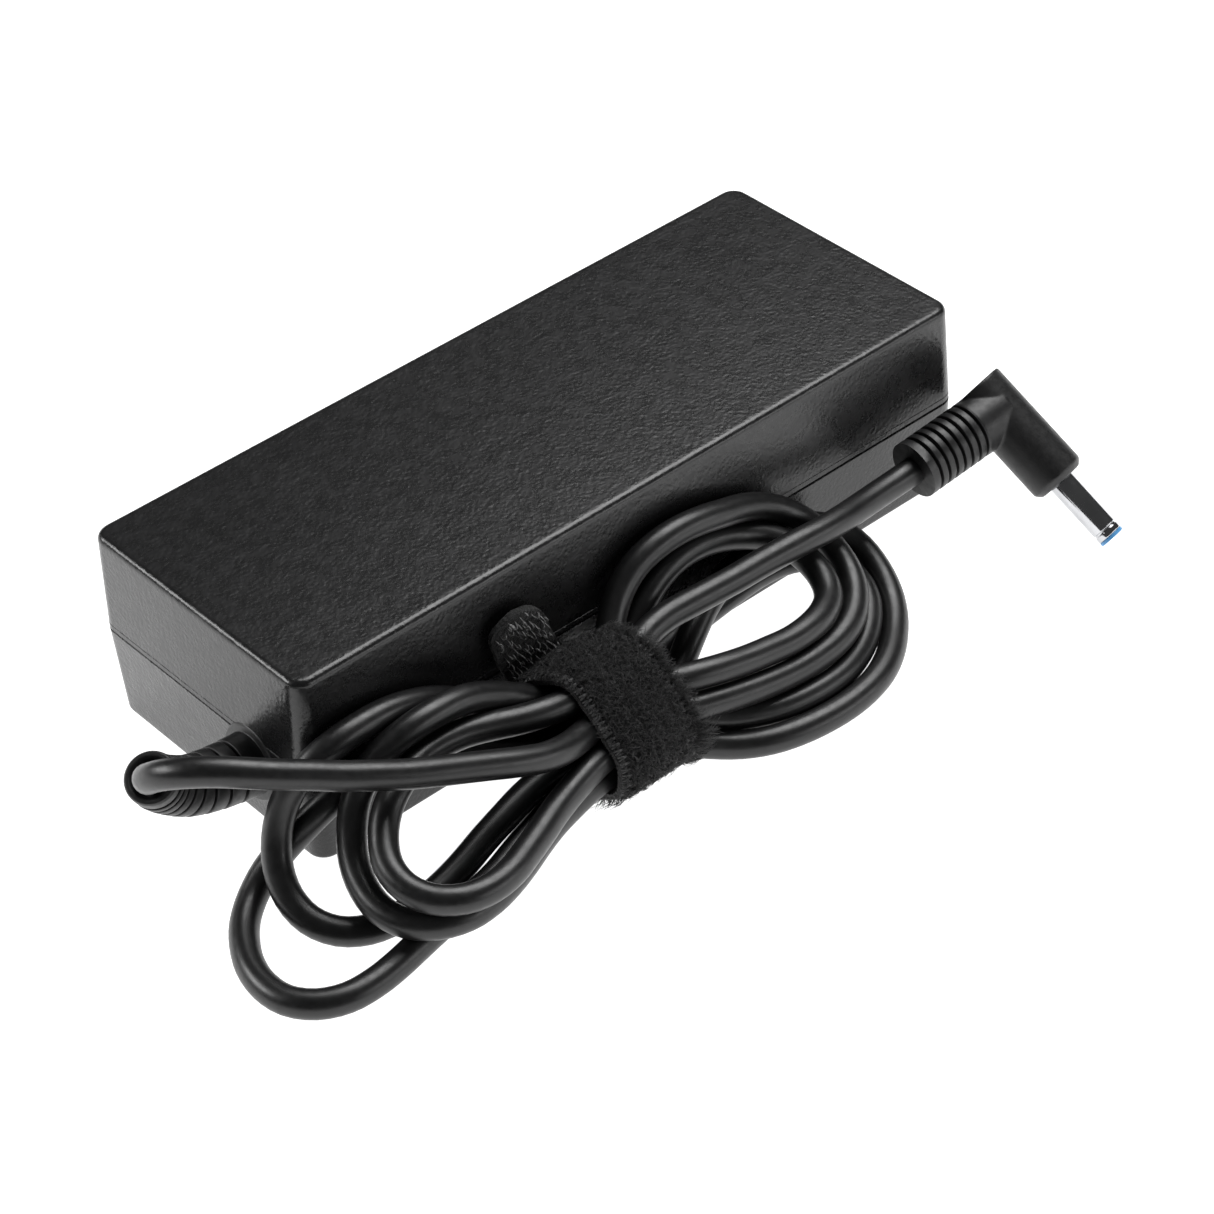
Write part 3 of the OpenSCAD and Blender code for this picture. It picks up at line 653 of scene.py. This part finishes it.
tip = [(8.0, 0.6), (8.0, 1.5), (16.8, 1.5), (16.8, 2.1), (16.9, 2.2), (17.3, 2.2), (17.4, 2.1), (17.4, 1.25), (17.3, 1.15),
       (10.0, 1.15), (10.0, 0.6)]
plug_tip = mesh_piece("plug_tip_ring", *ring(sleeve_line, tip), "tip", sharp=40)
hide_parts("plug_insulator")
pin = [(1.0, 0.1), (1.0, 0.4), (16.2, 0.4), (16.45, 0.32), (16.55, 0.15)]
plug_pin = mesh_piece("plug_pin", *lathe(sleeve_line, pin, 24), "gold", sharp=50)
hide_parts("plug_centre_pin")

# ---------------------------------------------------------------- strap
rnd = random.Random(7)
YC, ZC, TH = -40.6, 10.6, math.radians(42)


def stadium(r, a):
    """Point and outward normal on the leaning round-sided outline of radius r, at angle a in its own axes."""
    c, s_ = math.cos(a), math.sin(a)
    u = r * c + (3.0 if c >= 0 else -3.0) * min(1.0, abs(c) * 6)
    v = r * s_
    y = u * math.cos(TH) - v * math.sin(TH)
    z = u * math.sin(TH) + v * math.cos(TH)
    ny = c * math.cos(TH) - s_ * math.sin(TH)
    nz = c * math.sin(TH) + s_ * math.cos(TH)
    return (YC + y, ZC + z), (ny, nz)


# angles run from the housing side over the top, down the front, under, and back up outside the first layer
A_START, A_END = math.radians(-95), math.radians(-95 + 385)
N = 132
spine = []
for i in range(N + 1):
    f = i / N
    a = A_START + (A_END - A_START) * f
    over = max(0.0, min(1.0, (f - 0.80) / 0.14))
    r = 7.55 + 1.3 * over * over * (3 - 2 * over) + 0.12 * math.sin(3 * a + 0.5)
    (y, z), _ = stadium(r, a)
    lift = max(0.0, min(1.0, (y + 42) / 12))
    spine.append((-21.0 - 3.0 * lift * lift * (3 - 2 * lift) - 1.0 * max(0, (f - 0.75) / 0.25), y, z))
end = spine[-1]
tail = [(-26.0, -28.7, 16.5), (-26.8, -28.3, 19.0), (-27.5, -28.1, 21.6), (-28.2, -28.1, 24.2), (-28.7, -28.4, 26.4), (-29.0, -28.9, 28.6)]
spine_v = catmull([V(*p) for p in spine[:-6:3]] + [V(*p) for p in tail], 4)
total = sum((spine_v[i + 1] - spine_v[i]).length for i in range(len(spine_v) - 1)) / MM
strap_line = Path(spine_v)
NS, NW, WID, THK = 220, 20, 15.0, 1.15
tail_from = total - 13.5


def strap_at(s, w, side_out):
    """Point of the strap: s along it, w from -1 to 1 across, side_out +-1 for its outer and inner face."""
    p, t, _, _ = strap_line.at(s * MM)
    tt = Vector((0, t.y, t.z)).normalized()
    nrm = Vector((0, -tt.z, tt.y))
    if OUT_SIGN < 0:
        nrm = -nrm
    wid = WID / 2
    if s > tail_from - 6:
        g = min(1.0, (s - tail_from + 6) / 8)
        wid = WID / 2 + (5.4 - WID / 2) * g * g * (3 - 2 * g)
    e = total - s
    if e < 5.4:
        wid = math.sqrt(max(0.0, 5.4 ** 2 - (5.4 - e) ** 2))
    x = p.x + w * wid * MM
    edge = abs(w) ** 6
    wav = 0.22 * math.sin(s * 0.9 + w * 2.0) * edge + 0.15 * math.sin(s * 0.37 + w)
    up = max(0.0, min(1.0, (p.z / MM - 3.5) / 5.0)) * max(0.0, min(1.0, (tail_from - 6 - s) / 8))
    crown = 0.95 * (1 - w * w) * up * up * (3 - 2 * up)
    q = Vector((x, p.y, p.z)) + nrm * ((side_out * THK / 2 * (1 - 0.35 * edge) + wav + crown) * MM)
    q.z = max(q.z, 0.05 * MM)
    return q, nrm, tt


# which way the first layer's normal points, so that the outer face looks away from the bundle
OUT_SIGN = 1
p0, t0, _, _ = strap_line.at(20 * MM)
tt0 = Vector((0, t0.y, t0.z)).normalized()
if Vector((0, -tt0.z, tt0.y)).dot(Vector((0, p0.y - YC * MM, p0.z - ZC * MM))) < 0:
    OUT_SIGN = -1
verts, faces = [], []
rows = []
for i in range(NS + 1):
    s = (total - 0.02) * i / NS
    row = []
    for k in range(NW + 1):
        row.append(strap_at(s, -1 + 2 * k / NW, 1)[0])
    for k in range(NW + 1):
        row.append(strap_at(s, 1 - 2 * k / NW, -1)[0])
    rows.append(row)
m_ = 2 * (NW + 1)
for row in rows:
    verts += row
for i in range(NS):
    for k in range(m_):
        k2 = (k + 1) % m_
        faces.append((i * m_ + k, i * m_ + k2, (i + 1) * m_ + k2, (i + 1) * m_ + k))
faces.append(tuple(range(m_))[::-1])
faces.append(tuple(NS * m_ + k for k in range(m_)))
strap = mesh_piece("lead_strap", verts, faces, "strap", sharp=50)
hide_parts("cord_strap")


def thread(verts, faces, pts, r, seg=3, taper=0.5):
    """Adds a thin closed tube through the points."""
    n = len(pts)
    base = len(verts)
    t = (pts[1] - pts[0]).normalized()
    ref = Vector((0.3, 0.5, 0.8)).normalized()
    if abs(t.dot(ref)) > 0.9:
        ref = Vector((1, 0, 0))
    for i in range(n):
        t = (pts[min(i + 1, n - 1)] - pts[max(i - 1, 0)]).normalized()
        a = t.cross(ref).normalized()
        b = t.cross(a)
        rr = r * (1 - (1 - taper) * i / (n - 1))
        for k in range(seg):
            w = 2 * math.pi * k / seg
            verts.append(pts[i] + (a * math.cos(w) + b * math.sin(w)) * rr)
    for i in range(n - 1):
        for k in range(seg):
            k2 = (k + 1) % seg
            faces.append((base + i * seg + k, base + i * seg + k2, base + (i + 1) * seg + k2, base + (i + 1) * seg + k))
    faces.append(tuple(base + k for k in range(seg))[::-1])
    faces.append(tuple(base + (n - 1) * seg + k for k in range(seg)))


# pile: curled fibres all over the outer face, longer and frayed along the two rims
verts, faces = [], []
N_PILE = 15000
for _ in range(N_PILE):
    s = rnd.uniform(0.5, total - 14.5)
    w = rnd.uniform(-0.84, 1)
    fray = rnd.random() < 0.21
    if fray:
        w = rnd.uniform(0.9, 1.0) if rnd.random() < 0.8 else rnd.uniform(-0.95, -0.84)
    q, nrm, tt = strap_at(s, w, 1)
    q = q - nrm * (0.1 * MM)
    low = q.z < 11 * MM
    ln = rnd.uniform(0.9, 1.9) if not fray else rnd.uniform(1.1, 3.5 if low and w > 0 else 2.1)
    ang = rnd.uniform(0, 2 * math.pi)
    lay = Vector((1, 0, 0)) * math.cos(ang) + tt * math.sin(ang)
    if fray:
        lay = Vector((math.copysign(1, w), 0, 0)) * 1.1 + tt * rnd.uniform(-0.7, 0.7)
    curl = rnd.uniform(0.5, 1.5)
    sideways = nrm.cross(lay).normalized() * rnd.uniform(-0.6, 0.6)
    pts = []
    for j in range(5):
        f = j / 4
        pts.append(q + (nrm * math.sin(f * math.pi * 0.62) * 0.62 + lay * (f * f * 0.75) * curl
                        + sideways * math.sin(f * 3.0) * 0.5) * (ln * MM))
        pts[-1].z = max(pts[-1].z, 0.12 * MM)
    thread(verts, faces, pts, rnd.uniform(0.04, 0.075) * MM)
pile = mesh_piece("lead_strap_pile", verts, faces, "strap", mat=M["pile"], sharp=0)

# woven rim: short stitches across both edges
verts, faces = [], []
for sgn in (-1, 1):
    s = 0.6
    while s < total - 15:
        for off_, lean in ((0.0, 0.55), (0.45, -0.55)):
            pts = []
            for j in range(6):
                f = j / 5
                so = s + off_ + lean * (f - 0.5)
                if f < 0.5:
                    q, nrm, tt = strap_at(so, sgn * (0.80 + 0.40 * f), 1)
                    q = q + nrm * (0.10 * MM)
                else:
                    q, nrm, tt = strap_at(so, sgn * (1.0 - 0.28 * (f - 0.5)), -1)
                    q = q - nrm * (0.06 * MM) + Vector((sgn * 0.12 * MM * (1 if f < 0.7 else 0), 0, 0))
                pts.append(q)
            for q in pts:
                q.z = max(q.z, 0.2 * MM)
            thread(verts, faces, pts, 0.17 * MM, seg=5, taper=0.9)
        s += 0.95
rim = mesh_piece("lead_strap_rim", verts, faces, "strap", mat=M["rim"], sharp=0)

# hooks on the free end's inner face
verts, faces = [], []
s = total - 14.0
row_i = 0
while s < total - 0.6:
    for k in range(-5, 6):
        w_mm = (k + 0.5 * (row_i % 2)) * 1.25 + rnd.uniform(-0.3, 0.3)
        e = total - s
        half = 5.4 if e > 5.4 else math.sqrt(max(0.0, 5.4 ** 2 - (5.4 - e) ** 2))
        if abs(w_mm) > half - 0.45:
            continue
        q, nrm, tt = strap_at(s + rnd.uniform(-0.3, 0.3), max(-1.0, min(1.0, w_mm / half)), -1)
        dirn = (tt * rnd.choice((-1, 1)) + Vector((rnd.uniform(-0.6, 0.6), 0, 0))).normalized()
        h = rnd.uniform(1.1, 1.7)
        pts = []
        for f, g in ((0, 0), (0.45, 0.0), (0.8, 0.12), (1.0, 0.38), (0.92, 0.68), (0.66, 0.82)):
            pts.append(q - nrm * ((f * h - 0.1) * MM) + dirn * (g * 1.25 * MM))
        thread(verts, faces, pts, 0.11 * MM, seg=5, taper=0.85)
    s += 1.2
    row_i += 1
hooks = mesh_piece("lead_strap_hooks", verts, faces, "strap", mat=M["hook"], sharp=0)

# ---------------------------------------------------------------- materials of the CAD nodes that stay
LOOK = {
    "upper_shell": "shell", "lower_shell": "shell", "blank_label": "label", "ac_inlet_body": "inlet",
    "line_pin": "pin", "neutral_pin": "pin", "earth_pin": "pin", "inlet_leads": "pin", "insulating_sheet": "film",
    "circuit_board": "pcb", "fuse": "chip", "inrush_thermistor": "disc", "x_capacitor": "yellow",
    "line_choke_core": "ferrite", "line_choke_windings": "copper", "bridge_rectifier": "chip",
    "bulk_capacitor": "can", "primary_heatsink": "aluminium", "switching_transistor": "chip",
    "transformer_core": "ferrite", "transformer_bobbin": "chip", "transformer_windings": "copper",
    "control_chip": "chip", "optocoupler": "white", "y_capacitor": "disc", "secondary_heatsink": "aluminium",
    "output_rectifier": "chip", "output_capacitors": "can", "output_choke_core": "ferrite",
    "output_choke_winding": "copper", "heat_spreader": "aluminium", "output_wires": "wire",
    "strain_relief": "boot", "cord_housing_end": "lead", "cord_hank": "lead", "cord_plug_end": "lead",
    "cord_strap": "strap", "plug_boot": "boot", "plug_body": "boot", "plug_barrel": "barrel",
    "plug_insulator": "tip", "plug_centre_pin": "gold",
}
for name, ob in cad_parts.items():
    ob.data.materials.clear()
    ob.data.materials.append(M[LOOK[name]])

# ---------------------------------------------------------------- table and light
fv = [(-1.6, -1.6, -0.0004), (1.6, -1.6, -0.0004), (1.6, 1.6, -0.0004), (-1.6, 1.6, -0.0004)]
me = bpy.data.meshes.new("table")
me.from_pydata(fv, [], [(0, 1, 2, 3)])
me.materials.append(TABLE)
table = bpy.data.objects.new("table", me)
scene.collection.objects.link(table)


def softbox(name, at, to, sx, sy, power):
    d = bpy.data.lights.new(name, "AREA")
    d.shape = "RECTANGLE"
    d.size, d.size_y, d.energy = sx, sy, power
    o = bpy.data.objects.new(name, d)
    scene.collection.objects.link(o)
    at, to = Vector(at), Vector(to)
    o.matrix_world = Matrix.Translation(at) @ (to - at).to_track_quat("-Z", "Y").to_matrix().to_4x4()


softbox("overhead", (0.36, 0.10, 0.74), (0, -0.02, 0), 0.6, 0.5, 6.8)
softbox("front_right", (0.34, -0.60, 0.20), (0.02, -0.02, 0.01), 0.6, 0.2, 1.1)
softbox("back_left", (-0.56, 0.50, 0.44), (0, 0, 0.02), 0.5, 0.25, 4.0)
world = bpy.data.worlds.new("studio")
world.use_nodes = True
bg = next(n for n in world.node_tree.nodes if n.type == "BACKGROUND")
bg.inputs[0].default_value = (1, 1, 1, 1)
bg.inputs[1].default_value = 0.06
scene.world = world
scene.view_settings.view_transform = "Standard"
